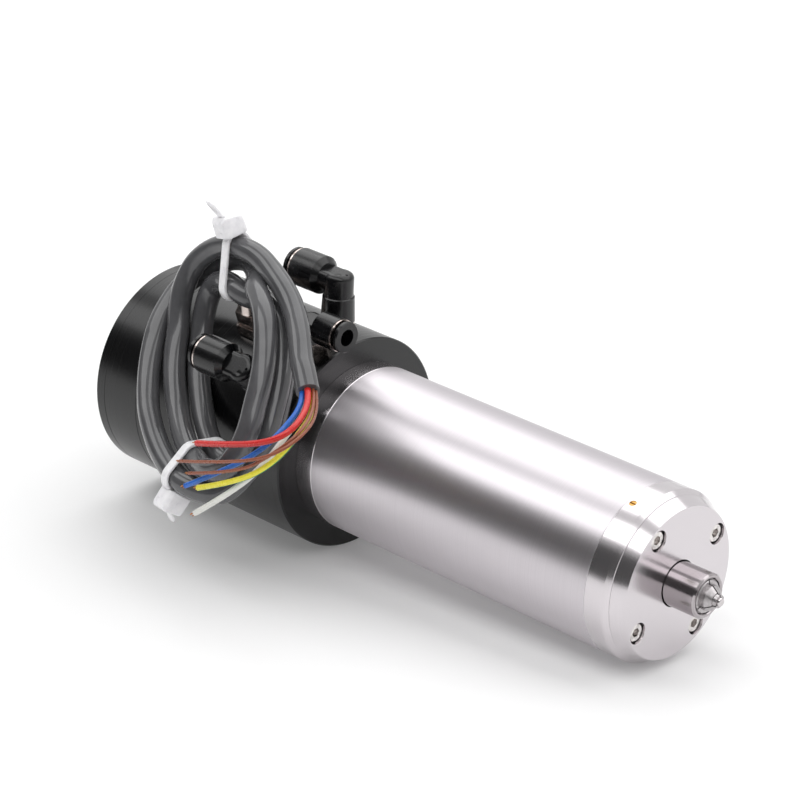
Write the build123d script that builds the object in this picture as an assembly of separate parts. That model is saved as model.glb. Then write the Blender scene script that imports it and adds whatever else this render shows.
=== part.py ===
from build123d import *
import os
from math import atan2, cos, degrees, hypot, radians, sin, tan

# Motor spindle with an automatic tool clamp: a steel barrel that a round clamp holds, a black tail
# housing with push-in fittings and the motor cable, and an air cylinder that opens the collet.
# Millimetres. The spindle axis is X, with the nose at +X and the top fitting at +Z; x = 0 is the
# shoulder, where the barrel leaves the tail housing. Angles run round the axis from +Z towards -Y.

# ---- barrel and nose ----
BARREL_RADIUS = 31.0
BARREL_WALL = 4.0
BARREL_END = 135.5
REAR_RING_LENGTH = 7.4
FRONT_FLANGE_LENGTH = 7.6
FRONT_TAPER_LENGTH = 2.05
FRONT_TAPER_DROP = 1.4
COVER_THICKNESS = 4.85
COVER_DROP = 2.3
COVER_HOLE_GAP = 0.4
COVER_SPIGOT_WALL = 1.5
COVER_SPIGOT_LENGTH = 4.15
COVER_SCREW_INSET = 8.15
COVER_SCREW_ANGLE = 32.1
COVER_SCREW_COUNT = 4
SCREW_RADIUS = 2.0
SCREW_HEAD_RADIUS = 3.4
SCREW_HEAD_HEIGHT = 4.0
SCREW_HEAD_GAP = 0.45
SCREW_HEAD_CHAMFER = 0.4
SCREW_SINK = 0.8
SCREW_LENGTH = 12.0
SCREW_SOCKET_FLATS = 3.0
PLUG_RADIUS = 1.3
PLUG_ANGLE = 22.3
PLUG_DEPTH = 3.0
PLUG_SLOT = 0.5
JOINT_CHAMFER = 0.2

# ---- shaft ----
NOSE_RADIUS = 8.05
NOSE_LENGTH = 13.0
NOSE_CHAMFER = 0.6
SEAT_RADIUS = 8.5
SHOULDER_RADIUS = 10.0
CORE_SEAT_RADIUS = 9.0
SHAFT_TAIL_LENGTH = 20.0
MOUTH_RADIUS = 6.44
MOUTH_CHAMFER = 0.3
TAPER_LENGTH = 10.0
TAPER_DROP = 1.44
SPRING_BORE_RADIUS = 6.2
SPRING_BORE_END = 30.0
DRAWBAR_RADIUS = 3.0
DRAWBAR_GAP = 0.3

# ---- bearings ----
BEARING_WIDTH = 10.0
BEARING_OUTER_RADIUS = 17.5
BEARING_GAP = 2.0
FRONT_BEARING_START = 114.0
REAR_BEARING_START = -4.0
BALL_RADIUS = 2.35
BALL_CIRCLE = 12.95
BALL_COUNT = 10
BALL_GAP = 0.1
RACE_STEP = 1.5
CAGE_HALF_THICKNESS = 0.9
CAGE_WIDTH = 7.0

# ---- motor ----
CORE_START = 42.0
CORE_LENGTH = 56.0
END_RING_LENGTH = 3.5
AIR_GAP = 0.5
JACKET_WALL = 4.5
STATOR_YOKE = 2.4
STATOR_SLOTS = 12
SLOT_WIDTH = 3.6
SLOT_DEPTH = 5.0
SLOT_NECK = 1.4
WINDING_LENGTH = 8.0
WINDING_GAP = 0.2
JACKET_MARGIN = 13.0
GROOVE_COUNT = 8
GROOVE_WIDTH = 4.6
GROOVE_DEPTH = 2.0
O_RING_RADIUS = 0.85

# ---- tail housing, air cylinder and rear cover ----
TAIL_RADIUS = 40.0
TAIL_LENGTH = 76.0
TAIL_FRONT_WALL = 20.0
TAIL_WALL = 6.0
BULKHEAD = 10.0
TAIL_CHAMFER = 0.5
REGISTER_DEPTH = 0.15
REGISTER_GAP = 0.1
CYLINDER_LENGTH = 17.4
COVER_PLATE = 5.2
PISTON_THICKNESS = 6.4
PISTON_STROKE = 3.0
ROD_RADIUS = 9.0
RUNNING_GAP = 0.06
DRAWBAR_TAIL = -50.0
PISTON_LIFT = 2.0
REAR_SCREW_COUNT = 6
REAR_SCREW_INSET = 3.6
REAR_SCREW_RADIUS = 1.25
REAR_SCREW_HEAD_RADIUS = 2.25
REAR_SCREW_HEAD_HEIGHT = 2.5
REAR_SCREW_SINK = 0.3
REAR_SCREW_LENGTH = 26.0
REAR_SCREW_FLATS = 2.0

# ---- collet and the gauge pin it grips ----
COLLET_START = 118.0
COLLET_GAP = 0.1
COLLET_RIM_LENGTH = 1.2
COLLET_RIM_DROP = 0.4
COLLET_STEP_RADIUS = 4.6
COLLET_STEP_LENGTH = 1.6
COLLET_CONE_LENGTH = 2.0
COLLET_TIP_RADIUS = 2.5
COLLET_TIP_LENGTH = 1.2
COLLET_SLOT = 0.5
COLLET_SLOT_LENGTH = 24.0
PIN_RADIUS = 1.575
PIN_FIT = 0.025
PIN_LENGTH = 27.0
PIN_STICKOUT = 1.0

# ---- push-in fittings: angle round the axis, x of the stem, and the way the arm points ----
UPPER_ANGLE = 0.0
SIDE_ANGLE = 51.0
ELBOW_X = -12.3
FORWARD_ANGLE = 18.6
FORWARD_X = -10.5
THREAD_DEPTH = 8.0
# one tube size: heights of the arm's axis and of the body's top above the tail housing, radii of the
# arm's head and neck, of the stem and of the sleeve's flange, tube radius, flats of the hexagon, and
# how far along the arm the sleeve's socket begins and the head ends
TUBE_8MM = (19.1, 22.6, 7.1, 5.2, 5.4, 6.6, 4.0, 11.0, 10.0, 19.0)
TUBE_6MM = (10.5, 12.9, 6.1, 4.5, 4.65, 5.75, 3.0, 10.0, 8.0, 15.5)

# ---- cable gland ----
GLAND_ANGLE = 20.0
GLAND_X = -37.5
GLAND_FLATS = 15.0
GLAND_HEX_HEIGHT = 4.0
GLAND_THREAD_LENGTH = 8.0
GLAND_NUT_FLATS = 13.5
GLAND_NUT_GAP = 0.5
GLAND_NUT_HEIGHT = 5.0
GLAND_DOME = 3.5

# ---- cable: the coil is an oval of four arcs in a tilted plane ----
CABLE_RADIUS = 4.2
COIL_ANGLE = 53.77
COIL_X = -26.5
COIL_HEIGHT = 17.52
COIL_NORMAL = (-0.1961, -0.8492, 0.4903)
COIL_LONG_AXIS = (0.7310, -0.4599, -0.5041)
COIL_HALF_LENGTH = 46.0
COIL_HALF_WIDTH = 29.2
COIL_END_RADIUS = 21.3
COIL_SECTION = 8.6
TIE_GAP = 0.3
TIE_THICKNESS = 1.2
TIE_WIDTH = 4.6
TIE_HEAD = 5.0
# a tie's share of the way round the coil, its roll, and the lean and length of its strap's end
UPPER_TIE = (0.518, -20, -70, 13.0)
LOWER_TIE = (0.97, -60, 0, 11.0)

LEAD_LENGTH = 24.0
# points of the cable's free end and of its wires, measured from the coil's centre
TAIL_ROUTE = [(-7.5, 19.4, 32.5), (4, 19.9, 37.5), (18.5, 14.9, 35), (32, 7.9, 26.5), (43.5, 0.1, 17.5),
              (53, -6.6, 9.5)]
WIRES = {
    "wire_red": (1.1, [(53.5, -7.4, 10.8), (57.9, -10.6, 8), (64.5, -23.4, 4.8), (60.3, -30.2, 0.2),
                       (43.7, -31, -6.6), (20.5, -27.4, -14.8)]),
    "wire_blue": (0.95, [(51.7, -8.2, 9.4), (55.9, -12, 6.8), (57.9, -23, 1.6), (53.5, -28.2, -5.8),
                         (40.1, -32, -16.8), (22.5, -34.4, -28.2)]),
    "wire_white": (1.05, [(51.7, -6.6, 8), (56.3, -10.2, 4.2), (58.5, -20.6, 0.6), (58.1, -29.8, -7.8),
                          (48.5, -35.2, -20.4), (32.3, -38.8, -33.8)]),
    "wire_yellow_green": (1.05, [(53.3, -4.8, 8.4), (58.1, -8.2, 4.6), (64.5, -21.8, 2),
                                 (63.5, -31.6, -5.8), (52.3, -37, -15.4), (30.7, -36, -25.6)]),
    "wire_brown_short": (0.6, [(54.5, -5.8, 10.6), (59.5, -9.4, 7.2), (69.3, -24.8, 5.6), (63.3, -33, -2.8),
                               (52.1, -37.8, -12), (23.9, -34.2, -23)]),
    "wire_brown_long": (0.6, [(54.8, -4.7, 9.7), (60.3, -8.6, 5.6), (70.1, -24.2, 4.6), (66.1, -35.8, -1.8),
                              (47.1, -37.8, -10), (17.7, -32.8, -21)]),
}

# ---- places and radii that follow from the sizes above ----
BARREL_BORE = BARREL_RADIUS - BARREL_WALL
STATOR_RADIUS = BARREL_BORE - JACKET_WALL
FLANGE_END = BARREL_END + FRONT_FLANGE_LENGTH
COVER_START = FLANGE_END + FRONT_TAPER_LENGTH
NOSE_FACE = COVER_START + COVER_THICKNESS
SHAFT_END = NOSE_FACE + NOSE_LENGTH
FRONT_BEARING_END = FRONT_BEARING_START + 2 * BEARING_WIDTH + BEARING_GAP
CORE_END = CORE_START + CORE_LENGTH
CYLINDER_START = -TAIL_LENGTH - CYLINDER_LENGTH
REAR_FACE = CYLINDER_START - COVER_PLATE
CYLINDER_BORE = TAIL_RADIUS - TAIL_WALL
SHAFT_TAIL = REAR_BEARING_START - SHAFT_TAIL_LENGTH

os.makedirs("parts", exist_ok=True)


def save(name, shape):
    """Write one sub-part, a solid or a group of solids, under its node name."""
    export_step(shape, "parts/" + name + ".step")


def turned(*outline):
    """Solid of revolution about the spindle axis from (x, radius) corners."""
    return revolve(make_face(Polyline(*outline, close=True)), Axis.X)


def tube(start, end, outer, inner=0.0):
    """Straight ring or disc on the spindle axis between two x places."""
    return turned((start, inner), (end, inner), (end, outer), (start, outer))


def spoke(angle, x, height=0.0):
    """Plane whose z points away from the spindle axis at an angle, with its own x along the axis."""
    out = Vector(0, -sin(radians(angle)), cos(radians(angle)))
    return Plane(origin=Vector(x, 0, 0) + out * height, x_dir=(1, 0, 0), z_dir=out)


def around(shape, count, first=0.0):
    """Copies of a shape evenly spaced round the spindle axis, the first turned by an angle."""
    return [Rotation(first + 360.0 * i / count, 0, 0) * shape for i in range(count)]


def eased(shape, x, radius):
    """The shape with its round edge at an x place and radius broken by the joint chamfer."""
    rims = [edge for edge in shape.edges().filter_by(GeomType.CIRCLE)
            if abs(edge.radius - radius) < 0.01 and abs(edge.arc_center.X - x) < 0.01]
    return chamfer(rims, JOINT_CHAMFER)


def rod(plane, start, end, radius):
    """Cylinder along a plane's z from one height to another."""
    disc = plane * Pos(0, 0, start) * Circle(radius)
    return extrude(disc, end - start, dir=plane.z_dir)


def hexagon(plane, start, end, flats):
    """Hexagonal prism along a plane's z, by its width across flats."""
    outline = plane * Pos(0, 0, start) * RegularPolygon(flats / 2, 6, major_radius=False)
    return extrude(outline, end - start, dir=plane.z_dir)


def socket_screw(x, circle, radius, head_radius, head_height, length, flats):
    """Socket-head screw parallel to the axis, its head's top face at x and its shank towards -X."""
    place = Plane(origin=(x, 0, circle), x_dir=(0, 1, 0), z_dir=(1, 0, 0))
    head = rod(place, -head_height, 0, head_radius)
    head = chamfer(head.edges().group_by(Axis.X)[-1], SCREW_HEAD_CHAMFER)
    screw = head + rod(place, -length, -head_height, radius)
    return screw - hexagon(place, -head_height * 0.55, 1, flats)


# ---- barrel ----
barrel = tube(REAR_RING_LENGTH, BARREL_END, BARREL_RADIUS, BARREL_BORE)
barrel = eased(eased(barrel, REAR_RING_LENGTH, BARREL_RADIUS), BARREL_END, BARREL_RADIUS)
save("barrel", barrel)

jacket_start = CORE_START - JACKET_MARGIN
jacket_end = CORE_END + JACKET_MARGIN
jacket = tube(jacket_start, jacket_end, BARREL_BORE, STATOR_RADIUS)
groove_pitch = (CORE_LENGTH + GROOVE_WIDTH) / GROOVE_COUNT
groove_floor = BARREL_BORE - GROOVE_DEPTH
for i in range(GROOVE_COUNT):
    groove_x = CORE_START - GROOVE_WIDTH / 2 + (i + 0.5) * groove_pitch
    jacket -= tube(groove_x - GROOVE_WIDTH / 2, groove_x + GROOVE_WIDTH / 2, TAIL_RADIUS, groove_floor)
o_rings = []
for end_x, inward in ((jacket_start, 1), (jacket_end, -1)):
    ring_x = end_x + inward * 4 * O_RING_RADIUS
    seat = BARREL_BORE - 2 * O_RING_RADIUS
    jacket -= tube(ring_x - 1.4 * O_RING_RADIUS, ring_x + 1.4 * O_RING_RADIUS, TAIL_RADIUS, seat)
    o_rings.append(Plane((ring_x, 0, 0), z_dir=(1, 0, 0)) * Torus(BARREL_BORE - O_RING_RADIUS, O_RING_RADIUS * 0.98))
save("cooling_jacket", jacket)
save("jacket_o_rings", Compound(o_rings))

# ---- stator and windings ----
slot_bottom = STATOR_RADIUS - STATOR_YOKE - SLOT_DEPTH
stator_bore = slot_bottom - SLOT_NECK
rotor_radius = stator_bore - AIR_GAP
stator = tube(CORE_START, CORE_END, STATOR_RADIUS, stator_bore)
slot_block = Pos((CORE_START + CORE_END) / 2, 0, slot_bottom + SLOT_DEPTH / 2) * Box(
    CORE_LENGTH + 2, SLOT_WIDTH, SLOT_DEPTH)
stator -= around(slot_block, STATOR_SLOTS)
save("stator_core", stator)

coil_inner = slot_bottom - WINDING_GAP
coil_outer = slot_bottom + SLOT_DEPTH + WINDING_GAP
bar = Pos((CORE_START + CORE_END) / 2, 0, slot_bottom + SLOT_DEPTH / 2) * Box(
    CORE_LENGTH + 2, SLOT_WIDTH - 2 * WINDING_GAP, SLOT_DEPTH - 2 * WINDING_GAP)
windings = Part() + around(bar, STATOR_SLOTS)
for face_x, out in ((CORE_START - WINDING_GAP, -1), (CORE_END + WINDING_GAP, 1)):
    tip_x = face_x + out * WINDING_LENGTH
    windings += turned((face_x, coil_inner), (tip_x - out * 2, coil_inner), (tip_x, coil_inner + 2),
                       (tip_x, coil_outer - 2), (tip_x - out * 2, coil_outer), (face_x, coil_outer))
save("stator_windings", windings)

# ---- rotor ----
front_shoulder = FRONT_BEARING_START - 4
shaft = turned(
    (SHAFT_TAIL, 0), (SHAFT_END, 0), (SHAFT_END, NOSE_RADIUS - NOSE_CHAMFER),
    (SHAFT_END - NOSE_CHAMFER, NOSE_RADIUS), (FRONT_BEARING_END + 3.5, NOSE_RADIUS),
    (FRONT_BEARING_END + 3.5, SEAT_RADIUS), (FRONT_BEARING_START, SEAT_RADIUS),
    (FRONT_BEARING_START, SHOULDER_RADIUS), (front_shoulder, SHOULDER_RADIUS),
    (front_shoulder, CORE_SEAT_RADIUS), (CORE_START - 4, CORE_SEAT_RADIUS),
    (CORE_START - 4, SHOULDER_RADIUS), (REAR_BEARING_START + BEARING_WIDTH, SHOULDER_RADIUS),
    (REAR_BEARING_START + BEARING_WIDTH, SEAT_RADIUS), (SHAFT_TAIL, SEAT_RADIUS))
taper_bottom = SHAFT_END - TAPER_LENGTH
collet_bore = MOUTH_RADIUS - TAPER_DROP
drawbar_bore = DRAWBAR_RADIUS + DRAWBAR_GAP
shaft -= turned((taper_bottom, 0), (SHAFT_END, 0), (SHAFT_END, MOUTH_RADIUS + MOUTH_CHAMFER),
                (SHAFT_END - MOUTH_CHAMFER, MOUTH_RADIUS), (taper_bottom, collet_bore))
shaft -= tube(COLLET_START - 2, taper_bottom, collet_bore)
shaft -= tube(SHAFT_TAIL, COLLET_START, drawbar_bore)
shaft -= tube(SHAFT_TAIL, SPRING_BORE_END, SPRING_BORE_RADIUS)
save("rotor_shaft", shaft)

save("rotor_core", tube(CORE_START, CORE_END, rotor_radius, CORE_SEAT_RADIUS))
end_rings = [tube(start, start + END_RING_LENGTH, rotor_radius - 0.8, CORE_SEAT_RADIUS)
             for start in (CORE_START - END_RING_LENGTH, CORE_END)]
save("rotor_end_rings", Compound(end_rings))

# ---- bearings ----
ball_track = BALL_RADIUS + BALL_GAP
inner_race = BALL_CIRCLE - RACE_STEP
outer_race = BALL_CIRCLE + RACE_STEP


def bearing(start):
    """Inner ring, outer ring, cage and balls of one ball bearing that starts at an x place."""
    middle = start + BEARING_WIDTH / 2
    track = Plane((middle, 0, 0), z_dir=(1, 0, 0)) * Torus(BALL_CIRCLE, ball_track)
    inner = tube(start, start + BEARING_WIDTH, inner_race, SEAT_RADIUS) - track
    outer = tube(start, start + BEARING_WIDTH, BEARING_OUTER_RADIUS, outer_race) - track
    cage = tube(middle - CAGE_WIDTH / 2, middle + CAGE_WIDTH / 2, BALL_CIRCLE + CAGE_HALF_THICKNESS,
                BALL_CIRCLE - CAGE_HALF_THICKNESS)
    pocket = rod(spoke(0, middle), BALL_CIRCLE - 3, BALL_CIRCLE + 3, ball_track)
    cage -= around(pocket, BALL_COUNT)
    balls = around(Pos(middle, 0, BALL_CIRCLE) * Sphere(BALL_RADIUS), BALL_COUNT)
    return inner, outer, cage, balls


second_start = FRONT_BEARING_START + BEARING_WIDTH + BEARING_GAP
pair = [bearing(FRONT_BEARING_START), bearing(second_start)]
spacer_x = FRONT_BEARING_START + BEARING_WIDTH
save("front_bearing_cages", Compound([one[2] for one in pair]))
save("front_bearing_balls", Compound([ball for one in pair for ball in one[3]]))
save("bearing_inner_spacer", tube(spacer_x, second_start, inner_race, SEAT_RADIUS))
save("bearing_outer_spacer", tube(spacer_x, second_start, BEARING_OUTER_RADIUS, outer_race))
rear = bearing(REAR_BEARING_START)
save("bearing_inner_rings", Compound([one[0] for one in pair + [rear]]))
save("bearing_outer_rings", Compound([one[1] for one in pair + [rear]]))
save("rear_bearing_cage", rear[2])
save("rear_bearing_balls", Compound(rear[3]))

lock_nuts = [tube(FRONT_BEARING_END, FRONT_BEARING_END + 3.5, inner_race, SEAT_RADIUS),
             tube(REAR_BEARING_START - 5, REAR_BEARING_START, SHOULDER_RADIUS + 0.5, SEAT_RADIUS)]
save("bearing_lock_nuts", Compound(lock_nuts))

# ---- front bearing housing, nose cover, its screws and the plug ----
cover_hole = NOSE_RADIUS + COVER_HOLE_GAP
lip_outer = BEARING_OUTER_RADIUS - 0.1
taper_radius = BARREL_RADIUS - FRONT_TAPER_DROP
face_radius = taper_radius - COVER_DROP
spigot_radius = BARREL_BORE - COVER_SPIGOT_WALL
spigot_floor = COVER_START - COVER_SPIGOT_LENGTH
front_housing = turned(
    (FRONT_BEARING_START - 2, outer_race + 1), (FRONT_BEARING_START, outer_race + 1),
    (FRONT_BEARING_START, BEARING_OUTER_RADIUS), (spigot_floor, BEARING_OUTER_RADIUS),
    (spigot_floor, spigot_radius), (COVER_START, spigot_radius),
    (COVER_START, taper_radius), (FLANGE_END, BARREL_RADIUS), (BARREL_END, BARREL_RADIUS),
    (BARREL_END, BARREL_BORE), (FRONT_BEARING_START - 2, BARREL_BORE))
nose_cover = turned(
    (FRONT_BEARING_END, outer_race + 0.4), (FRONT_BEARING_END, lip_outer), (spigot_floor, lip_outer),
    (spigot_floor, spigot_radius), (COVER_START, spigot_radius),
    (COVER_START, taper_radius), (NOSE_FACE, face_radius), (NOSE_FACE, cover_hole),
    (FRONT_BEARING_END + 4, cover_hole), (FRONT_BEARING_END + 4, outer_race + 0.4))
cover_circle = BARREL_RADIUS - COVER_SCREW_INSET
head_top = NOSE_FACE - SCREW_SINK
counterbore = Plane(origin=(NOSE_FACE, 0, cover_circle), z_dir=(1, 0, 0))
screw_holes = around(rod(counterbore, -SCREW_SINK - SCREW_HEAD_HEIGHT, 1, SCREW_HEAD_RADIUS + SCREW_HEAD_GAP)
                     + rod(counterbore, -SCREW_SINK - SCREW_LENGTH, 0, SCREW_RADIUS),
                     COVER_SCREW_COUNT, COVER_SCREW_ANGLE)
nose_cover -= screw_holes
front_housing -= screw_holes
cover_screw = socket_screw(head_top, cover_circle, SCREW_RADIUS, SCREW_HEAD_RADIUS,
                           SCREW_HEAD_HEIGHT, SCREW_LENGTH, SCREW_SOCKET_FLATS)
save("nose_cover_screws", Compound(around(cover_screw, COVER_SCREW_COUNT, COVER_SCREW_ANGLE)))
save("nose_cover", eased(nose_cover, COVER_START, taper_radius))

plug_place = spoke(PLUG_ANGLE, BARREL_END + 2.2)
plug_top = BARREL_RADIUS - 0.15
front_housing -= rod(plug_place, plug_top - PLUG_DEPTH, TAIL_RADIUS, PLUG_RADIUS)
plug = rod(plug_place, plug_top - PLUG_DEPTH, plug_top, PLUG_RADIUS)
plug -= plug_place * Pos(0, 0, plug_top) * Box(2 * PLUG_RADIUS + 1, PLUG_SLOT, 2 * PLUG_SLOT)
front_housing = eased(eased(front_housing, BARREL_END, BARREL_RADIUS), COVER_START, taper_radius)
save("front_bearing_housing", front_housing)
save("air_seal_plug", plug)

# ---- rear bearing housing, whose flange is the ring behind the barrel ----
rear_spigot = -TAIL_FRONT_WALL + 4
rear_housing = turned(
    (rear_spigot, SHOULDER_RADIUS + 1), (REAR_BEARING_START - 2.5, SHOULDER_RADIUS + 1),
    (REAR_BEARING_START - 2.5, BEARING_OUTER_RADIUS), (2 * REAR_RING_LENGTH, BEARING_OUTER_RADIUS),
    (2 * REAR_RING_LENGTH, BARREL_BORE), (REAR_RING_LENGTH, BARREL_BORE),
    (REAR_RING_LENGTH, BARREL_RADIUS), (-REGISTER_DEPTH, BARREL_RADIUS), (-REGISTER_DEPTH, BARREL_BORE),
    (rear_spigot, BARREL_BORE))
save("rear_bearing_housing", eased(rear_housing, REAR_RING_LENGTH, BARREL_RADIUS))
save("preload_spring", tube(REAR_BEARING_START - 2.5, REAR_BEARING_START, BEARING_OUTER_RADIUS - 0.3, outer_race))

# ---- tail housing ----
tail = turned(
    (-TAIL_LENGTH, ROD_RADIUS + RUNNING_GAP), (-TAIL_LENGTH, TAIL_RADIUS), (-TAIL_CHAMFER, TAIL_RADIUS),
    (0, TAIL_RADIUS - TAIL_CHAMFER), (0, BARREL_RADIUS + REGISTER_GAP),
    (-REGISTER_DEPTH, BARREL_RADIUS + REGISTER_GAP), (-REGISTER_DEPTH, BARREL_BORE),
    (-TAIL_FRONT_WALL, BARREL_BORE),
    (-TAIL_FRONT_WALL, CYLINDER_BORE), (-TAIL_LENGTH + BULKHEAD, CYLINDER_BORE),
    (-TAIL_LENGTH + BULKHEAD, ROD_RADIUS + RUNNING_GAP))
tail = eased(tail, -TAIL_LENGTH, TAIL_RADIUS)

# ---- air cylinder, rear cover and its screws ----
air_cylinder = tube(CYLINDER_START, -TAIL_LENGTH, TAIL_RADIUS, CYLINDER_BORE)
air_cylinder = eased(eased(air_cylinder, CYLINDER_START, TAIL_RADIUS), -TAIL_LENGTH, TAIL_RADIUS)
rear_cover = turned((REAR_FACE, 0), (CYLINDER_START, 0), (CYLINDER_START, TAIL_RADIUS),
                    (REAR_FACE + 2 * TAIL_CHAMFER, TAIL_RADIUS), (REAR_FACE, TAIL_RADIUS - 2 * TAIL_CHAMFER))
rear_cover = eased(rear_cover, CYLINDER_START, TAIL_RADIUS)
rear_place = Plane(origin=(REAR_FACE, 0, TAIL_RADIUS - REAR_SCREW_INSET), z_dir=(-1, 0, 0))
rear_floor = REAR_SCREW_SINK + REAR_SCREW_HEAD_HEIGHT
rear_holes = around(rod(rear_place, -rear_floor, 1, REAR_SCREW_HEAD_RADIUS + 0.15)
                    + rod(rear_place, -REAR_SCREW_LENGTH, 0, REAR_SCREW_RADIUS),
                    REAR_SCREW_COUNT, 180 / REAR_SCREW_COUNT)
rear_cover -= rear_holes
air_cylinder -= rear_holes
tail -= rear_holes
rear_screw = rod(rear_place, -rear_floor, -REAR_SCREW_SINK, REAR_SCREW_HEAD_RADIUS)
rear_screw += rod(rear_place, -REAR_SCREW_LENGTH, -rear_floor, REAR_SCREW_RADIUS)
rear_screw -= hexagon(rear_place, -rear_floor * 0.6, 1, REAR_SCREW_FLATS)
save("rear_cover_screws", Compound(around(rear_screw, REAR_SCREW_COUNT, 180 / REAR_SCREW_COUNT)))
save("air_cylinder", air_cylinder)
save("rear_cover", rear_cover)

# ---- piston, its seals and the push rod ----
piston_rear = CYLINDER_START + 1
piston_front = piston_rear + PISTON_THICKNESS
rod_tip = DRAWBAR_TAIL - PISTON_LIFT
piston_radius = CYLINDER_BORE - RUNNING_GAP
piston = tube(piston_rear, piston_front, piston_radius) + tube(piston_front, rod_tip, ROD_RADIUS)
seal_mid = (piston_rear + piston_front) / 2
rod_seal_x = -TAIL_LENGTH + BULKHEAD / 2
piston -= tube(seal_mid - 1.3, seal_mid + 1.3, piston_radius + 1, piston_radius - 2)
save("clamp_piston", piston)
save("piston_seal", tube(seal_mid - 1.2, seal_mid + 1.2, piston_radius, piston_radius - 1.9))
tail -= tube(rod_seal_x - 1.3, rod_seal_x + 1.3, ROD_RADIUS + 2)
save("rod_seal", tube(rod_seal_x - 1.2, rod_seal_x + 1.2, ROD_RADIUS + 1.9, ROD_RADIUS + RUNNING_GAP))

# ---- drawbar with its disc springs ----
drawbar_front = COLLET_START + 10
collar_front = SHAFT_TAIL + 5
drawbar = tube(DRAWBAR_TAIL, drawbar_front, DRAWBAR_RADIUS)
drawbar += tube(collar_front - 3, collar_front, SPRING_BORE_RADIUS - 0.3)
drawbar += tube(DRAWBAR_TAIL, DRAWBAR_TAIL + 5, SPRING_BORE_RADIUS)
save("drawbar", drawbar)
disc_count = 14
disc_pitch = (SPRING_BORE_END - collar_front) / disc_count
cone = disc_pitch * 0.5
springs = []
for i in range(disc_count):
    lean = cone if i % 2 else -cone
    low = collar_front + i * disc_pitch + (0 if lean > 0 else cone)
    inner, outer = DRAWBAR_RADIUS + 0.35, SPRING_BORE_RADIUS - 0.35
    springs.append(turned((low, inner), (low + lean, outer), (low + lean + cone, outer), (low + cone, inner)))
save("disc_springs", Compound(springs))

# ---- collet with three jaws, and the gauge pin ----
collet_mouth = MOUTH_RADIUS - COLLET_GAP
shank = collet_bore - COLLET_GAP
step_end = SHAFT_END + COLLET_STEP_LENGTH
cone_end = step_end + COLLET_CONE_LENGTH
tip_end = cone_end + COLLET_TIP_LENGTH
rim_start = SHAFT_END - COLLET_RIM_LENGTH
rim_radius = collet_mouth - COLLET_RIM_DROP
seat_radius = collet_mouth - TAPER_DROP * COLLET_RIM_LENGTH / TAPER_LENGTH
collet = turned(
    (COLLET_START, 0), (tip_end, 0), (tip_end, COLLET_TIP_RADIUS - 0.2), (cone_end, COLLET_TIP_RADIUS),
    (cone_end, COLLET_TIP_RADIUS + 0.4), (step_end, COLLET_STEP_RADIUS - 0.1), (SHAFT_END, COLLET_STEP_RADIUS),
    (SHAFT_END, rim_radius - 0.3), (SHAFT_END - 0.3, rim_radius), (rim_start, rim_radius),
    (rim_start, seat_radius), (taper_bottom, shank), (COLLET_START, shank))
pin_hole = PIN_RADIUS + PIN_FIT
collet -= tube(COLLET_START, drawbar_front, DRAWBAR_RADIUS)
collet -= tube(drawbar_front, tip_end, pin_hole)
slot_mid = tip_end - COLLET_SLOT_LENGTH / 2
slot_cut = Pos(slot_mid, 0, 5) * Box(COLLET_SLOT_LENGTH + 0.1, COLLET_SLOT, 10)
collet -= around(slot_cut, 3)
save("collet", collet)
pin = tube(tip_end + PIN_STICKOUT - PIN_LENGTH, tip_end + PIN_STICKOUT, PIN_RADIUS)
pin = fillet(pin.edges().group_by(Axis.X)[-1], 0.6)
save("gauge_pin", pin)


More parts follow.
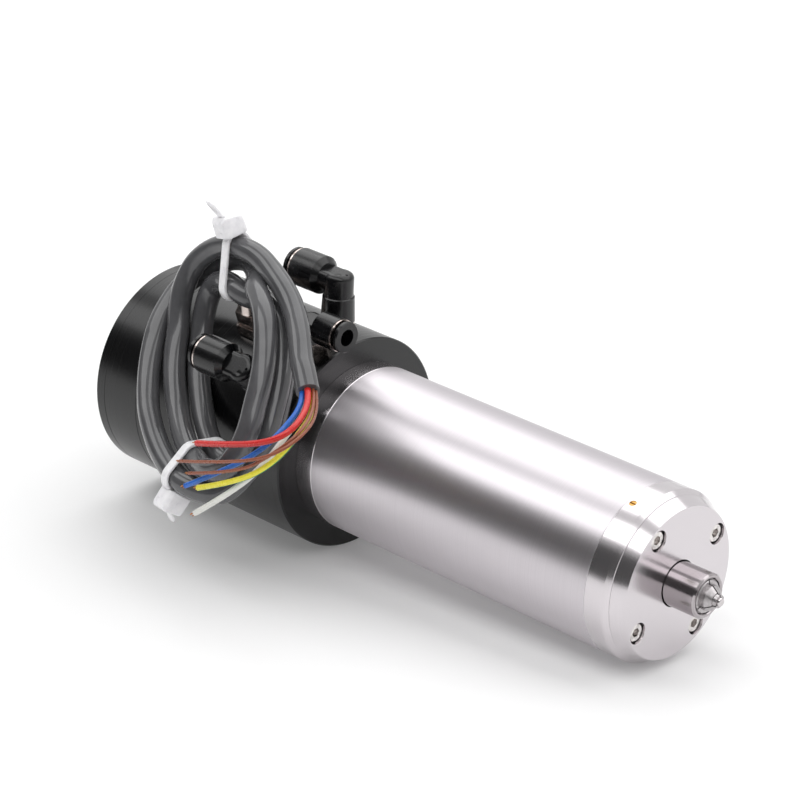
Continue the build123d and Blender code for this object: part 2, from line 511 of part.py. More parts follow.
def push_in_fitting(name, angle, x, way, tube_size):
    """Swivelling push-in elbow: moulded body, metal ring, tube seal and release sleeve are written;
    its threaded stem and the port it screws into are returned. The arm points way along the axis."""
    height, top, head, neck, stem, flange, tube_radius, flats, shoulder, end = tube_size
    up = spoke(angle, x)
    arm_height = TAIL_RADIUS + height
    along = Plane(origin=up.origin + up.z_dir * arm_height, x_dir=up.z_dir, z_dir=(way, 0, 0))
    hex_top = TAIL_RADIUS + 4
    thread = flats * 0.42
    swivel = stem * 0.66
    sleeve_radius = tube_radius + 0.85
    post = hexagon(up, TAIL_RADIUS, hex_top, flats) + rod(up, TAIL_RADIUS - THREAD_DEPTH, TAIL_RADIUS, thread)
    post += rod(up, hex_top, arm_height - tube_radius - 0.5, swivel)
    post -= rod(up, TAIL_RADIUS - THREAD_DEPTH, arm_height, swivel - 1.2)

    body_foot = hex_top + 0.4
    cap = TAIL_RADIUS + top
    body = rod(up, body_foot, cap, stem)
    body = fillet(body.edges().group_by(Axis(up.origin, up.z_dir))[-1], stem * 0.41)
    collar_height = (cap - body_foot) * 0.52
    collar = up * Pos(0, 0, body_foot + collar_height / 2) * Cone(stem + 0.85, stem + 0.45, collar_height)
    body += chamfer(collar.edges().group_by(Axis(up.origin, up.z_dir))[-1], 0.35)
    section = Circle(neck) - Pos(top - height + neck, 0) * Rectangle(2 * neck, 2 * neck)
    section = fillet(section.vertices(), neck * 0.38)
    cone_start, head_start = shoulder - 4, shoulder - 2
    if stem > cone_start - 0.5:
        cone_start, head_start = stem + 0.5, stem + 2
    body += extrude(along * section, cone_start, dir=along.z_dir)
    shell = along * Pos(0, 0, (cone_start + head_start) / 2) * Cone(neck, head, head_start - cone_start)
    shell += rod(along, head_start, end, head)
    body += shell
    body -= up * Pos(-way * stem * 0.3, -stem * 0.45, cap + 2.0) * Sphere(2.4)
    body -= up * Pos(-way * stem * 0.68, 0, cap) * Cylinder(0.45, 3)
    body -= rod(up, body_foot - 1, arm_height, swivel + RUNNING_GAP)
    body -= rod(along, -swivel / 2, end + 1, tube_radius - 0.8)
    body -= rod(along, shoulder - 3, end + 1, sleeve_radius + RUNNING_GAP)
    save(name + "_body", body)

    seal_end = shoulder - 1
    seal = rod(along, shoulder - 3, seal_end, sleeve_radius + RUNNING_GAP) - rod(
        along, shoulder - 4, seal_end + 1, tube_radius + 0.1)
    save(name + "_seal", seal)
    ring = rod(along, end, end + 0.8, head - 0.2) - rod(along, end - 1, end + 2, sleeve_radius + 0.3)
    save(name + "_ring", ring)
    lip = end + 2
    tip = lip + head * 0.22
    sleeve = rod(along, shoulder + 0.5, tip, sleeve_radius) + rod(along, lip, tip, flange)
    sleeve = chamfer(sleeve.edges().group_by(Axis(along.origin, along.z_dir))[-1], 0.35)
    sleeve -= rod(along, shoulder, tip + 1, tube_radius + 0.1)
    save(name + "_sleeve", sleeve)
    return post, rod(up, TAIL_RADIUS - THREAD_DEPTH, TAIL_RADIUS + 1, thread)


fittings = [push_in_fitting("upper_elbow", UPPER_ANGLE, ELBOW_X, -1, TUBE_8MM),
            push_in_fitting("side_elbow", SIDE_ANGLE, ELBOW_X, -1, TUBE_8MM),
            push_in_fitting("forward_elbow", FORWARD_ANGLE, FORWARD_X, 1, TUBE_6MM)]
save("fitting_stems", Compound([stem for stem, port in fittings]))
for stem, port in fittings:
    tail -= port

# ---- cable gland ----
gland = spoke(GLAND_ANGLE, GLAND_X)
gland_foot = TAIL_RADIUS
gland_bore = CABLE_RADIUS + 0.2
gland_thread = GLAND_NUT_FLATS / 2 - 0.9
gland_hex = gland_foot + GLAND_HEX_HEIGHT
nut_foot = gland_hex + GLAND_NUT_GAP
dome_foot = nut_foot + GLAND_NUT_HEIGHT
nut_top = dome_foot + GLAND_DOME
thread_start = gland_foot - GLAND_THREAD_LENGTH
thread_end = gland_foot + GLAND_THREAD_LENGTH
gland_body = hexagon(gland, gland_foot, gland_hex, GLAND_FLATS)
gland_body += rod(gland, thread_start, thread_end, gland_thread)
gland_body -= rod(gland, thread_start - 1, thread_end + 1, gland_bore)
save("gland_body", gland_body)
tail -= rod(gland, thread_start - 1, gland_foot + 1, gland_thread)
save("tail_housing", tail)

nut = hexagon(gland, nut_foot, dome_foot, GLAND_NUT_FLATS)
nut += gland * Pos(0, 0, dome_foot + GLAND_DOME / 2) * Cone(GLAND_NUT_FLATS / 2, gland_bore + 1.2, GLAND_DOME)
nut -= rod(gland, gland_hex, thread_end + 0.1, gland_thread)
nut -= rod(gland, thread_end, nut_top + 1, gland_bore + 1)
save("gland_nut", nut)
seal = rod(gland, thread_end + 0.1, nut_top - 0.3, gland_bore + 1)
save("gland_seal", seal - rod(gland, thread_end, nut_top, CABLE_RADIUS))

# ---- cable ----
save("cable_lead", rod(gland, gland_hex, gland_hex + LEAD_LENGTH, CABLE_RADIUS))

coil_centre = spoke(COIL_ANGLE, COIL_X, TAIL_RADIUS + COIL_HEIGHT).origin
coil_plane = Plane(origin=coil_centre, x_dir=COIL_LONG_AXIS, z_dir=COIL_NORMAL)
reach = COIL_HALF_LENGTH - COIL_END_RADIUS
side_radius = (reach ** 2 + COIL_HALF_WIDTH ** 2 - COIL_END_RADIUS ** 2) / (
    2 * (COIL_HALF_WIDTH - COIL_END_RADIUS))
side_offset = side_radius - COIL_HALF_WIDTH
join = degrees(atan2(side_offset, reach))
oval = Wire([
    CenterArc((reach, 0), COIL_END_RADIUS, -join, 2 * join),
    CenterArc((0, -side_offset), side_radius, join, 180 - 2 * join),
    CenterArc((-reach, 0), COIL_END_RADIUS, 180 - join, 2 * join),
    CenterArc((0, side_offset), side_radius, 180 + join, 180 - 2 * join)])
coil_path = coil_plane * oval


def on_coil(share):
    """Plane across the coil at a share of its length, its z along the bundle and its x outwards."""
    point = coil_path.position_at(share)
    ahead = coil_path.tangent_at(share)
    return Plane(origin=point, x_dir=ahead.cross(coil_plane.z_dir), z_dir=ahead)


save("cable_coil", sweep(on_coil(0) * Circle(COIL_SECTION), coil_path))


def cord(name, route, radius):
    """Round cord along straight runs joined by arcs as large as the runs allow; prints its radii."""
    points = [coil_centre + Vector(*point) for point in route]
    runs = [b - a for a, b in zip(points, points[1:])]
    bends = []
    for before, after in zip(runs, runs[1:]):
        turn = radians(before.get_angle(after))
        bends.append(0.45 * min(before.length, after.length) / tan(turn / 2))
    path = FilletPolyline(*points, radius=bends)
    section = Plane(origin=points[0], z_dir=runs[0]) * Circle(radius)
    solid = sweep(section, path)
    share = solid.volume / (path.length * 3.14159265 * radius ** 2)
    print(name, "length %.0f" % path.length, "volume share %.3f" % share,
          "radii", " ".join("%.1f" % bend for bend in bends))
    save(name, solid)


cord("cable_tail", TAIL_ROUTE, CABLE_RADIUS)
for name, (radius, route) in WIRES.items():
    cord(name, route, radius)


def cable_tie(share, roll, lean, strap_end):
    """Nylon tie round the coil's bundle: a band, its square head and the cut end of the strap."""
    place = on_coil(share).location * Rotation(0, 0, roll)
    inner = COIL_SECTION + TIE_GAP
    tie = place * extrude(Circle(inner + TIE_THICKNESS) - Circle(inner), TIE_WIDTH / 2, both=True)
    head = place * Pos(inner + TIE_HEAD / 2, 0, 0)
    tie += head * Box(TIE_HEAD, TIE_HEAD + 1.5, TIE_HEAD + 1)
    strap = Pos(strap_end / 2, 0, 0) * Box(strap_end, TIE_THICKNESS, TIE_WIDTH)
    return tie + head * Rotation(0, 0, lean) * strap


save("cable_ties", Compound([cable_tie(*UPPER_TIE), cable_tie(*LOWER_TIE)]))
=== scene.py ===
from math import cos, pi, radians, sin, sqrt
import bmesh
import bpy
from mathutils import Matrix, Vector


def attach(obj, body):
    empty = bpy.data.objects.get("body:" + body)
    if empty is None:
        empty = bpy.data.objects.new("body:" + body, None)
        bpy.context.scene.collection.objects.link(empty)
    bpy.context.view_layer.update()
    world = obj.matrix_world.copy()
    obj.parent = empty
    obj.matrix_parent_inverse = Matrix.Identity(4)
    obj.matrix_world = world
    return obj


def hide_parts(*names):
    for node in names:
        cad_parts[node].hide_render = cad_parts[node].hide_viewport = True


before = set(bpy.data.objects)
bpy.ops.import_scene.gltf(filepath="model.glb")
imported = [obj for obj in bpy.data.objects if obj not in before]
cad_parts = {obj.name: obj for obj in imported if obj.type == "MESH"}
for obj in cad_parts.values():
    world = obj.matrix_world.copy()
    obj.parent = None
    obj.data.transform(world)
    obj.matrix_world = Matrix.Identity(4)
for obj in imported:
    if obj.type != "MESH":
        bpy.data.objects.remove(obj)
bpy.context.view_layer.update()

# Camera. It stands about a metre in front of the nose and to the left of the spindle, above it, with a long
# lens. Its axes are unit vectors in the spindle's own frame.
camera = bpy.data.objects.new("camera", bpy.data.cameras.new("camera"))
camera.data.lens = 137.1
camera.data.sensor_width = 36
camera.data.clip_end = 20
camera_right = Vector((0.71921, 0.69340, 0.04399))
camera_up = Vector((-0.30364, 0.25673, 0.91755))
camera_back = Vector((0.62493, -0.67327, 0.39519))
camera_place = Matrix.Translation((0.69831, -0.73058, 0.45231))
camera.matrix_world = camera_place @ Matrix((camera_right, camera_up, camera_back)).transposed().to_4x4()
bpy.context.scene.collection.objects.link(camera)
bpy.context.scene.camera = camera

# Motor cable. Grey PVC jacket of 8.4 mm, glossy as it leaves the extruder, wound by hand into three oval
# turns that are tied in two places. It starts at its cut end and goes into the gland.
MM = 0.001
CABLE_RADIUS = 4.2
OVAL_CENTRE = Vector((-26.5, -46.4, 34.0))
OVAL_LONG = Vector((0.7310, -0.4599, -0.5041))
OVAL_FACE = Vector((-0.1961, -0.8492, 0.4903))
OVAL_WIDE = OVAL_FACE.cross(OVAL_LONG)
OVAL_HALF_LENGTH = 46.0
OVAL_HALF_WIDTH = 29.2
TURNS = 3
STATIONS_PER_TURN = 16
# The turns swap places in the bundle. Each row is chosen: a station, counted in sixteenths of a
# turn from the oval's upper right, and there how far the cable lies outside the oval and in front of it.
PLACES = [(-1, 12.8, -1), (0, 9.5, -3), (1, 7, -2), (1.5, 7, 0), (2, 5.5, 1.5), (2.5, 4.5, 1),
          (3, 3.5, 0.3), (4, 1.5, 0), (5, -1.5, -1), (6, -3.2, -4), (8, -3.6, -4), (10, -3.6, -1),
          (11, -3, 2.3), (12, -1, 3.8), (14, -3, 4.2), (16, 1.8, 4), (17, -0.8, 0.6), (17.5, 0, -4.3),
          (18, 1.5, -6.5), (18.5, 2, -8), (19, 2, -8.5), (20, 3, -8.6), (20.5, 5.2, -7.8), (21, 6.2, -5.2),
          (22, 5, -0.5), (24, 4.8, 2.5), (26, 5.2, 1), (27, 4, -3.9), (28, -1.8, -5.2), (30, -3.8, -4.8),
          (32, 0.5, -5), (33, -3.4, -7.2), (33.5, -8.2, -4.4), (34, -8.8, -2.5), (35, -8.4, -4.2),
          (36, -6.5, -7), (37, -8, -9), (38, -8.8, -11), (40, -9, -11), (42, -7.4, -9.6), (43, -8, -10.5),
          (44, -8.8, -10.5), (46, -9.6, -11.2), (48, -5.8, -11.4), (49, -8, -14)]
# Points given before the turns, from the cut end, and after them, over and down into the gland.
CUT_END = [(26.5, -53, 43.5), (20.5, -49, 47.5)]
GLAND_END = [(-28, -21.8, 52), (-35.5, -19.3, 58), (-39, -14.8, 51), (-37.5, -15, 41.2)]
# Nearly all of a noise texture's values lie between these.
NOISE_LOW = 0.3
NOISE_HIGH = 0.7


def strand(station, out=0.0):
    """The middle of the cable at a station, or a point so much farther out of the oval, in millimetres."""
    for (first, first_out, first_face), (second, second_out, second_face) in zip(PLACES, PLACES[1:]):
        if station <= second:
            share = (station - first) / (second - first)
            break
    out += first_out + (second_out - first_out) * share
    face = first_face + (second_face - first_face) * share
    angle = pi / 2 + 2 * pi * station / STATIONS_PER_TURN
    return (OVAL_CENTRE + (OVAL_HALF_LENGTH + out) * cos(angle) * OVAL_LONG
            + (OVAL_HALF_WIDTH + out) * sin(angle) * OVAL_WIDE + face * OVAL_FACE)


def spline(name, points, radius, material):
    """A round cord along a smooth line drawn by its control points in millimetres."""
    data = bpy.data.curves.new(name, "CURVE")
    data.dimensions = "3D"
    line = data.splines.new("NURBS")
    line.points.add(len(points) - 1)
    for point, place in zip(line.points, points):
        point.co = (*[v * MM for v in place], 1)
    line.order_u = 3
    line.use_endpoint_u = True
    data.resolution_u = 12
    data.bevel_depth = radius * MM
    data.bevel_resolution = 6
    data.use_fill_caps = True
    data.materials.append(material)
    piece = bpy.data.objects.new(name, data)
    bpy.context.scene.collection.objects.link(piece)
    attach(piece, "housing")
    return piece


def linear(code):
    """An sRGB hex colour as linear red, green, blue and alpha."""
    parts = [int(code[i:i + 2], 16) / 255 for i in (1, 3, 5)]
    return [p / 12.92 if p <= 0.04045 else ((p + 0.055) / 1.055) ** 2.4 for p in parts] + [1]


def node(tree, kind, links=None, stops=None, **settings):
    """Adds a shader node: settings set its properties or, by name, its sockets; links join its sockets.
    Stops are a colour ramp's two positions, each with a hex colour."""
    made = tree.nodes.new("ShaderNode" + kind)
    for key, value in settings.items():
        if hasattr(made, key):
            setattr(made, key, value)
        else:
            made.inputs[key.replace("_", " ")].default_value = value
    for key, source in (links or {}).items():
        tree.links.new(source, made.inputs[key])
    if stops:
        for element, (position, colour) in zip(made.color_ramp.elements, stops):
            element.position = position
            element.color = linear(colour)
    return made


def surface(name, **values):
    """A new material with plain values on its Principled shader; returns the material, tree and shader."""
    made = bpy.data.materials.new(name)
    made.use_nodes = True
    shader = made.node_tree.nodes["Principled BSDF"]
    for key, value in values.items():
        shader.inputs[key.replace("_", " ")].default_value = value
    return made, made.node_tree, shader


def mottled(name, pale, dark, rough, patch, grain, depth, **values):
    """Gloss varies softly over patches, and so does the colour from pale to dark, with a fine grain on top.
    Patch and grain are the sizes, depth the grain's height, in millimetres."""
    made, tree, shader = surface(name, **values)
    place = node(tree, "TexCoord").outputs["Object"]
    soft = node(tree, "TexNoise", {"Vector": place}, Scale=1 / (patch * MM), Detail=3.0).outputs["Fac"]
    if pale == dark:
        shader.inputs["Base Color"].default_value = linear(pale)
    else:
        tint = node(tree, "ValToRGB", {"Fac": soft}, [(0.35, dark), (0.65, pale)])
        tree.links.new(tint.outputs["Color"], shader.inputs["Base Color"])
    gloss = node(tree, "MapRange", {"Value": soft}, From_Min=NOISE_LOW, From_Max=NOISE_HIGH,
                 To_Min=rough - 0.04, To_Max=rough + 0.06)
    tree.links.new(gloss.outputs["Result"], shader.inputs["Roughness"])
    fine = node(tree, "TexNoise", {"Vector": place}, Scale=1 / (grain * MM), Detail=2.0).outputs["Fac"]
    bump = node(tree, "Bump", {"Height": fine}, Distance=depth * MM)
    tree.links.new(bump.outputs["Normal"], shader.inputs["Normal"])
    return made


# A point every half station, from station -1 to one station past the last turn.
stations = [half / 2 for half in range(-2, 2 * TURNS * STATIONS_PER_TURN + 3)]
cable_points = CUT_END + [strand(station) for station in stations] + GLAND_END
pvc_grey = mottled("extruded_pvc_grey", "#515153", "#48484a", 0.08, 9.0, 1.2, 0.002, IOR=1.57)
cable = spline("motor_cable", cable_points, CABLE_RADIUS, pvc_grey)
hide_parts("cable_lead", "cable_coil", "cable_tail")

# Cable ties. Natural nylon, moulded, so light glows in it a little. Each is a strap drawn tight round the
# bundle through its own head, and keeps its cut end.
STRAP_WIDTH = 3.6
STRAP_THICKNESS = 1.3
STRAP_GAP = 0.1
STRAP_STEPS = 72
# The head in sections: how far across each lies, its middle's height, its half width and half height.
HEAD = [(-5.0, 1.6, 3.0, 1.6), (-3.8, 3.4, 4.0, 3.4), (3.4, 4.0, 4.0, 4.0), (5.0, 3.4, 3.0, 3.0)]
HEAD_GAP = 0.4
# The cut end, from inside the head: each section's share of the length, its half width and half thickness.
CUT_STRAP = [(0.0, 1.7, 0.6), (0.8, 1.6, 0.55), (1.0, 1.0, 0.4)]
CUT_STRAP_HEIGHT = 6.0
CUT_STRAP_ACROSS = 1.0
# Each tie: its station, its head's angle from straight out, and its cut end's angle and length. The angles
# are in degrees.
TIES = [(2.2, 42, 62, 11.0), (9.7, 8, 150, 7.0)]


def skin(mesh, rings, closed=False):
    """Adds a skin through rings of four corners in millimetres, joined end to end or capped."""
    made = [[mesh.verts.new(corner * MM) for corner in ring] for ring in rings]
    for ring, following in zip(made, made[1:] + (made[:1] if closed else [])):
        for corner in range(4):
            after = (corner + 1) % 4
            mesh.faces.new((ring[corner], ring[after], following[after], following[corner]))
    if not closed:
        mesh.faces.new(made[0][::-1])
        mesh.faces.new(made[-1])


def section(middle, wide, high):
    """The four corners of a rectangle, from its middle and half its width and height as vectors."""
    return [middle + wide * u + high * v for u, v in ((-1, -1), (1, -1), (1, 1), (-1, 1))]


def strap_ring(touched, away, along):
    """The strap's four corners where it goes over the strand that it touches."""
    inner = touched + away * (CABLE_RADIUS + STRAP_GAP)
    outer = inner + away * STRAP_THICKNESS
    side = along * STRAP_WIDTH / 2
    return [inner - side, inner + side, outer + side, outer - side]


mesh = bmesh.new()
for station, head_angle, cut_angle, cut_length in TIES:
    centres = [strand(station + STATIONS_PER_TURN * turn) for turn in range(TURNS)]
    middle = sum(centres, Vector()) / TURNS
    outward = (strand(station, 1.0) - strand(station)).normalized()
    along = outward.cross(OVAL_FACE).normalized()
    # The strap goes round the bundle and lies on the strand that reaches farthest in each direction.
    rings = []
    for step in range(STRAP_STEPS):
        angle = 2 * pi * step / STRAP_STEPS
        away = outward * cos(angle) + OVAL_FACE * sin(angle)
        touched = max(centres, key=lambda centre: centre.dot(away))
        touched = touched - along * (touched - middle).dot(along)
        rings.append(strap_ring(touched, away, along))
    skin(mesh, rings, closed=True)
    # The head sits on the strap, and the cut end leans out of its top.
    away = outward * cos(radians(head_angle)) + OVAL_FACE * sin(radians(head_angle))
    across = along.cross(away).normalized()
    seat = max(centre.dot(away) for centre in centres) - middle.dot(away) + CABLE_RADIUS
    foot = middle + away * (seat + HEAD_GAP)
    skin(mesh, [section(foot + across * far + away * lift, along * half_width, away * half_height)
                for far, lift, half_width, half_height in HEAD])
    run = away * sin(radians(cut_angle)) + across * cos(radians(cut_angle))
    flat = along.cross(run).normalized()
    start = foot + away * CUT_STRAP_HEIGHT + across * CUT_STRAP_ACROSS
    skin(mesh, [section(start + run * cut_length * share, along * half_width, flat * half_height)
                for share, half_width, half_height in CUT_STRAP])
bmesh.ops.recalc_face_normals(mesh, faces=mesh.faces)
ties = bpy.data.objects.new("tied_straps", bpy.data.meshes.new("tied_straps"))
mesh.to_mesh(ties.data)
mesh.free()
soft_edge = ties.modifiers.new("moulded_edges", "BEVEL")
soft_edge.width = 0.45 * MM
soft_edge.segments = 2
nylon = mottled("moulded_nylon_natural", "#f1f0f2", "#e4e3e6", 0.3, 3.0, 0.6, 0.003, IOR=1.53,
                Subsurface_Weight=0.5, Subsurface_Scale=0.003, Subsurface_Radius=(1.0, 1.0, 1.0))
ties.data.materials.append(nylon)
bpy.context.scene.collection.objects.link(ties)
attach(ties, "housing")
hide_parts("cable_ties")

# Wires. Stranded copper in coloured PVC, cut off square; they bend down in front of the coil. The earth
# wire is yellow with a green stripe along it. Bare strands stand out of the cut ends.
WIRES = {
    "wire_red": ("#cc2826", 1.1, [(27, -53.8, 44.8), (31.4, -57, 42), (38, -69.8, 38.8),
                                  (33.8, -76.6, 34.2), (17.2, -77.4, 27.4), (-6, -73.8, 19.2)]),
    "wire_blue": ("#2464c0", 0.95, [(25.2, -54.6, 43.4), (29.4, -58.4, 40.8), (31.4, -69.4, 35.6),
                                    (27, -74.6, 28.2), (13.6, -78.4, 17.2), (-4, -80.8, 5.8)]),
    "wire_white": ("#dcdcd6", 1.05, [(25.2, -53, 42), (29.8, -56.6, 38.2), (32, -67, 34.6),
                                     (31.6, -76.2, 26.2), (22, -81.6, 13.6), (5.8, -85.2, 0.2)]),
    "wire_yellow_green": ("#e2d83a", 1.05, [(26.8, -51.2, 42.4), (31.6, -54.6, 38.6), (38, -68.2, 36),
                                            (37, -78, 28.2), (25.8, -83.4, 18.6), (4.2, -82.4, 8.4)]),
    "wire_brown_short": ("#8a4a30", 0.6, [(28, -52.2, 44.6), (33, -55.8, 41.2), (42.8, -71.2, 39.6),
                                          (36.8, -79.4, 31.2), (25.6, -84.2, 22), (-2.6, -80.6, 11)]),
    "wire_brown_long": ("#8a4a30", 0.6, [(28.3, -51.1, 43.7), (33.8, -55, 39.6), (43.6, -70.6, 38.6),
                                         (39.6, -82.2, 32.2), (20.6, -84.2, 24), (-8.8, -79.2, 13)]),
}
# Where the green stripe begins, as a share of the way round the earth wire; it ends at the full round.
STRIPE_FROM = 0.72
BARE_STRANDS = 5
BARE_STRAND_RADIUS = 0.16


def striped(material, base, stripe):
    """Runs a coloured stripe along a wire."""
    tree = material.node_tree
    way = node(tree, "SeparateXYZ", {"Vector": node(tree, "TexCoord").outputs["UV"]})
    edge = node(tree, "ValToRGB", {"Fac": way.outputs["Y"]}, [(0.0, base), (STRIPE_FROM, stripe)])
    edge.color_ramp.interpolation = "CONSTANT"
    tree.links.new(edge.outputs["Color"], tree.nodes["Principled BSDF"].inputs["Base Color"])


def bare_end(name, points, radius, material):
    """Short strands that start a millimetre inside the end of a wire and splay a little out of it."""
    end = Vector(points[-1])
    run = (end - Vector(points[-2])).normalized()
    side = run.orthogonal().normalized()
    made = []
    for number in range(BARE_STRANDS):
        lean = Matrix.Rotation(2 * pi * number / BARE_STRANDS, 3, run) @ side * radius
        reach = 1.2 + 0.3 * (number % 3)
        splay = 0.5 + 0.4 * (number % 2)
        inside = end - run + lean * 0.3
        bend = end + run * 0.5 + lean * 0.4
        tip = end + run * reach + lean * splay
        made.append(spline(name + "_strand_%d" % number, [inside, bend, tip], BARE_STRAND_RADIUS, material))
    return made


copper = mottled("bare_copper_strands", "#c98a5a", "#a9683c", 0.32, 0.8, 0.2, 0.002, Metallic=1.0)
for name, (colour, radius, points) in WIRES.items():
    pvc = mottled("extruded_pvc_" + name, colour, colour, 0.26, 4.0, 0.8, 0.002, IOR=1.53)
    if name == "wire_yellow_green":
        striped(pvc, colour, "#2f8a48")
    wire = spline(name + "_insulated", points, radius, pvc)
    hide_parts(name)
    strands = bare_end(name, points, radius, copper)

# Barrel and its end rings. Stainless steel, turned and then brushed with fine grit while it spins, so
# hair-fine lines run round it and the light draws out along its length.
# A line changes only over a third of a metre, so it closes into a ring. The real lines are too fine to show
# and are drawn coarser, a quarter to two fifths of a millimetre apart.
LINE_LENGTH = 1000 / 3


def turned(name, pale, dark, rough, stretch, pitch, **values):
    """Hair lines round the X axis, a pitch in millimetres apart, which stretch what they reflect."""
    made, tree, shader = surface(name, Anisotropic=stretch, Anisotropic_Rotation=0.25, **values)
    place = node(tree, "TexCoord").outputs["Object"]
    across_lines = 1 / (pitch * MM)
    along_lines = 1 / (LINE_LENGTH * MM)
    hair = node(tree, "Mapping", {"Vector": place}, Scale=(across_lines, along_lines, along_lines))
    lines = node(tree, "TexNoise", {"Vector": hair.outputs["Vector"]}, Scale=1.0, Detail=3.0).outputs["Fac"]
    tint = node(tree, "ValToRGB", {"Fac": lines}, [(NOISE_LOW, dark), (NOISE_HIGH, pale)])
    tree.links.new(tint.outputs["Color"], shader.inputs["Base Color"])
    gloss = node(tree, "MapRange", {"Value": lines}, From_Min=NOISE_LOW, From_Max=NOISE_HIGH,
                 To_Min=rough - 0.02, To_Max=rough + 0.02)
    tree.links.new(gloss.outputs["Result"], shader.inputs["Roughness"])
    tangent = node(tree, "Tangent", direction_type="RADIAL", axis="X")
    tree.links.new(tangent.outputs["Tangent"], shader.inputs["Tangent"])
    return made


def dress(material, *names):
    """Gives CAD nodes their material."""
    for name in names:
        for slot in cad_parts[name].material_slots:
            slot.material = material


barrel_steel = turned("brushed_stainless_barrel", "#d3ced2", "#ccc7cb", 0.4, 0.75, 0.4, Metallic=1.0)
ring_steel = turned("turned_stainless_rings", "#d8d3d6", "#cfcacd", 0.2, 0.6, 0.3, Metallic=1.0)
dress(barrel_steel, "barrel")
dress(ring_steel, "rear_bearing_housing", "front_bearing_housing", "nose_cover")

# Shaft nose, collet and gauge pin. Hardened tool steel: the shaft and the pin are ground, with faint rings,
# and the collet is bead-blasted, so it stays dull.
shaft_steel = turned("ground_shaft_steel", "#b4aeb0", "#a9a3a5", 0.15, 0.7, 0.25, Metallic=1.0)
ground_steel = turned("ground_tool_steel", "#d8d3d4", "#c6c1c2", 0.18, 0.4, 0.25, Metallic=1.0)
satin_steel = mottled("bead_blasted_tool_steel", "#bdb9ba", "#aaa6a7", 0.36, 1.0, 0.2, 0.003, Metallic=1.0)
dress(shaft_steel, "rotor_shaft")
dress(satin_steel, "collet")
dress(ground_steel, "gauge_pin")

# Socket-head screws. Stainless steel, cold-headed and tumbled, so the heads are bright and unevenly smooth.
# Four hold the nose cover; six hold the rear cover and the air cylinder to the tail housing.
screw_steel = mottled("cold_headed_stainless", "#ece8e6", "#c6c2c0", 0.22, 1.5, 0.3, 0.003, Metallic=1.0)
dress(screw_steel, "nose_cover_screws", "rear_cover_screws")

# Plug of the sealing-air channel. Brass, turned from the bar, with a screwdriver slot. It is screwed into
# the front bearing housing, nearly flush.
brass = mottled("turned_brass", "#caa05c", "#a87d40", 0.28, 1.0, 0.25, 0.003, Metallic=1.0)
dress(brass, "air_seal_plug")

# Tail housing, air cylinder and rear cover. Aluminium, turned, then anodised satin black; the turning shows
# through the black layer as fine lines. The layer is an oxide, so it isn't metallic.
satin_black = turned("black_anodised_aluminium", "#060607", "#030304", 0.26, 0.5, 0.35, IOR=1.5)
dress(satin_black, "tail_housing", "air_cylinder", "rear_cover")

# Push-in elbows and the gland. Black moulded PBT bodies and release sleeves, nickel-plated brass stems,
# rings and gland, nitrile seals.
pbt = mottled("moulded_pbt_black", "#08080a", "#040405", 0.24, 6.0, 0.7, 0.006, IOR=1.5)
nickel = mottled("nickel_plated_brass", "#d8ccc6", "#bdb1ab", 0.2, 2.0, 0.3, 0.002, Metallic=1.0)
nitrile = mottled("moulded_nitrile_rubber", "#141414", "#0c0c0c", 0.55, 3.0, 0.4, 0.006, IOR=1.52)
for elbow in ("upper_elbow", "side_elbow", "forward_elbow"):
    dress(pbt, elbow + "_body", elbow + "_sleeve")
    dress(nickel, elbow + "_ring")
    dress(nitrile, elbow + "_seal")
dress(nickel, "fitting_stems", "gland_body", "gland_nut")
dress(nitrile, "gland_seal", "rod_seal", "piston_seal", "jacket_o_rings")

# Bearings, their nuts and spacers, and the drawbar. Steel, ground or turned; the balls are polished. The
# inner rings sit on the shaft, the outer ones in the housings.
ball_steel = mottled("polished_bearing_steel", "#e2dfde", "#d2cfce", 0.06, 4.0, 0.5, 0.0004, Metallic=1.0)
inner_steel = turned("turned_alloy_steel", "#a9a5a4", "#93908f", 0.3, 0.5, 0.3, Metallic=1.0)
dress(ball_steel, "front_bearing_balls", "rear_bearing_balls")
dress(ground_steel, "bearing_inner_rings", "bearing_outer_rings")
dress(inner_steel, "drawbar", "bearing_lock_nuts", "bearing_inner_spacer", "bearing_outer_spacer")

# Cooling jacket, rotor end rings and clamp piston. Aluminium, turned and left bare. The jacket lies between
# stator and barrel, the rings close the ends of the rotor core, and the piston runs in the air cylinder.
bare_aluminium = turned("turned_bare_aluminium", "#d6d7d8", "#c4c5c6", 0.32, 0.5, 0.35, Metallic=1.0)
dress(bare_aluminium, "cooling_jacket", "rotor_end_rings", "clamp_piston")

# Stator and rotor cores. Electrical steel sheets of half a millimetre, punched and stacked along the axis.
# At a scale of 1 the wave texture turns through 20 radians in a metre; the scale makes one wave a sheet.
SHEET = 0.5


def banded(name, stops, direction, scale, distortion, depth, **values):
    """Waves along a direction, coloured by a ramp's stops and standing up by a depth in millimetres."""
    made, tree, shader = surface(name, **values)
    place = node(tree, "TexCoord").outputs["Object"]
    wave = node(tree, "TexWave", {"Vector": place}, wave_type="BANDS", bands_direction=direction,
                Scale=scale, Distortion=distortion).outputs["Fac"]
    tint = node(tree, "ValToRGB", {"Fac": wave}, stops)
    tree.links.new(tint.outputs["Color"], shader.inputs["Base Color"])
    bump = node(tree, "Bump", {"Height": wave}, Distance=depth * MM)
    tree.links.new(bump.outputs["Normal"], shader.inputs["Normal"])
    return made


sheet_scale = 2 * pi / 20 / (SHEET * MM)
lamination = banded("stacked_electrical_steel", [(0.1, "#232427"), (0.5, "#55565a")], "X",
                    sheet_scale, 0.0, 0.03, Metallic=0.9, Roughness=0.45)
dress(lamination, "stator_core", "rotor_core")

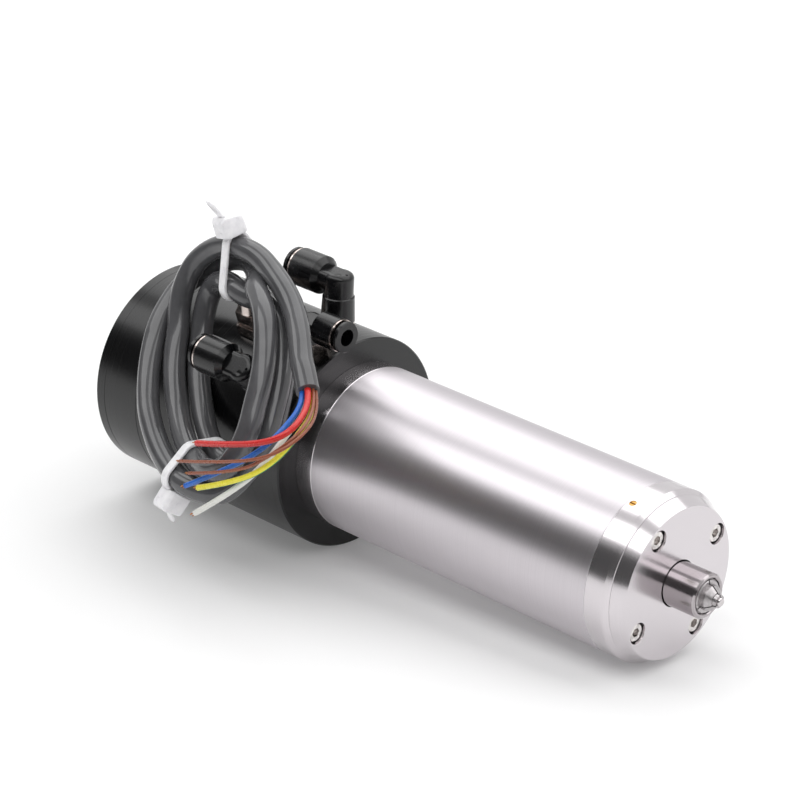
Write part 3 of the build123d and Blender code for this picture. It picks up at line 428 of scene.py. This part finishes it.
# Stator windings. Enamelled copper wire of 0.7 mm, wound in the slots and varnished together. Along the
# diagonal the wave texture turns through 10 root 3 radians in a metre; the scale makes one wave a wire.
WINDING_WIRE = 0.7
wire_scale = 2 * pi / (10 * sqrt(3)) / (WINDING_WIRE * MM)
winding = banded("varnished_copper_winding", [(0.0, "#5a2611"), (1.0, "#b8683c")], "DIAGONAL",
                 wire_scale, 2.0, 0.1, Metallic=0.7, Roughness=0.32, Coat_Weight=0.6)
dress(winding, "stator_windings")

# Springs. Spring steel, blued in the heat treatment, so the colour drifts from grey to blue. The disc
# springs lie on the drawbar and keep the collet shut; the preload spring bears on the rear bearing.
blued = mottled("blued_spring_steel", "#4a5266", "#3a3a3e", 0.3, 5.0, 0.5, 0.001, Metallic=1.0)
dress(blued, "disc_springs", "preload_spring")

# Bearing cages. Fabric-reinforced phenolic, machined, brown with the weave showing as mottling. Each keeps
# the balls of one bearing apart, between its rings.
phenolic = mottled("machined_phenolic_cage", "#9a6a3c", "#6f4524", 0.5, 0.8, 0.25, 0.01, IOR=1.58)
dress(phenolic, "front_bearing_cages", "rear_bearing_cage")

# Floor. White paper. The spindle lies on it on its tail flange and the edge of its nose, 3.5 degrees
# nose-down. Close by, the paper shows the shadow; farther out it turns to plain white for the eye alone.
FLOOR_DEPTH = 0.0399
FLOOR_HALF_WIDTH = 6.0
SHADOW_TO = 0.3
WHITE_FROM = 0.8
PAPER_GLOW = 0.12
up_from_floor = Vector((-0.06112, 0, 0.99813))
floor = bpy.data.objects.new("floor", bpy.data.meshes.new("floor"))
mesh = bmesh.new()
bmesh.ops.create_grid(mesh, x_segments=1, y_segments=1, size=FLOOR_HALF_WIDTH)
mesh.to_mesh(floor.data)
mesh.free()
tilt = up_from_floor.to_track_quat("Z", "Y").to_matrix().to_4x4()
floor.matrix_world = Matrix.Translation(up_from_floor * -FLOOR_DEPTH) @ tilt
bpy.context.scene.collection.objects.link(floor)
paper, tree, shader = surface("white_paper", Base_Color=linear("#e7e7e7"), Roughness=0.9,
                              Emission_Color=linear("#ffffff"))
place = node(tree, "TexCoord").outputs["Object"]
distance = node(tree, "VectorMath", {"Vector": place}, operation="LENGTH").outputs["Value"]
beyond = node(tree, "MapRange", {"Value": distance}, From_Min=SHADOW_TO, From_Max=WHITE_FROM,
              To_Min=PAPER_GLOW, To_Max=1.0).outputs["Result"]
looked_at = node(tree, "LightPath").outputs["Is Camera Ray"]
glow = node(tree, "MapRange", {"Value": looked_at, "To Max": beyond}, To_Min=PAPER_GLOW).outputs["Result"]
tree.links.new(glow, shader.inputs["Emission Strength"])
floor.data.materials.append(paper)

# Tent. White all round, but dimmer as a light on dull surfaces. Glossy surfaces see the walls: their level
# at each angle in degrees from straight up, towards the left side, with a dark opening low on the left.
WALLS = [(-120, 0.9), (-60, 0.9), (-45, 0.7), (8, 0.75), (46, 0.5), (54, 0.08), (88, 0.08), (102, 0.9)]
DIFFUSE_LIGHT = 0.45
tent = bpy.data.worlds.new("tent")
tent.use_nodes = True
bpy.context.scene.world = tent
tree = tent.node_tree
way = node(tree, "SeparateXYZ", {"Vector": node(tree, "TexCoord").outputs["Generated"]})
left = node(tree, "Math", {0: way.outputs["Y"]}, operation="MULTIPLY")
left.inputs[1].default_value = -1.0
turn = node(tree, "Math", {0: left.outputs["Value"], 1: way.outputs["Z"]}, operation="ARCTAN2")
share = node(tree, "MapRange", {"Value": turn.outputs["Value"]}, From_Min=-pi, From_Max=pi)
walls = node(tree, "ValToRGB", {"Fac": share.outputs["Result"]})
stops = walls.color_ramp.elements
for angle, level in WALLS:
    stops.new((angle + 180) / 360).color = (level, level, level, 1)
stops.remove(stops[0])
rays = node(tree, "LightPath")
seen = node(tree, "MixRGB", {"Fac": rays.outputs["Is Glossy Ray"], "Color2": walls.outputs["Color"]},
            Color1=linear("#ffffff"))
dimmed = node(tree, "MapRange", {"Value": rays.outputs["Is Diffuse Ray"]}, To_Min=1.0, To_Max=DIFFUSE_LIGHT)
tree.links.new(seen.outputs["Color"], tree.nodes["Background"].inputs["Color"])
tree.links.new(dimmed.outputs["Result"], tree.nodes["Background"].inputs["Strength"])

# Lamps. Two long strip softboxes over the spindle, parallel to it and a metre away. The gap between them
# shows on the barrel as a grey stripe.
STRIP_LENGTH = 2.3
STRIP_DISTANCE = 1.0
STRIP_BACK = 0.05


def strip(name, angle, width, power):
    """A strip softbox at an angle in degrees from straight up, towards the left side."""
    light = bpy.data.objects.new(name, bpy.data.lights.new(name, "AREA"))
    light.data.shape = "RECTANGLE"
    light.data.size = STRIP_LENGTH
    light.data.size_y = width
    light.data.energy = power
    lengthwise = Vector((1, 0, 0))
    away = Vector((0, -sin(radians(angle)), cos(radians(angle))))
    axes = Matrix((lengthwise, away.cross(lengthwise), away)).transposed().to_4x4()
    light.matrix_world = Matrix.Translation(away * STRIP_DISTANCE - lengthwise * STRIP_BACK) @ axes
    light.visible_camera = False
    bpy.context.scene.collection.objects.link(light)


strip("wide_strip_softbox", -25, 0.93, 10.0)
strip("narrow_strip_softbox", 29, 0.46, 6.4)

bpy.context.scene.view_settings.view_transform = "Standard"
bpy.context.view_layer.update()
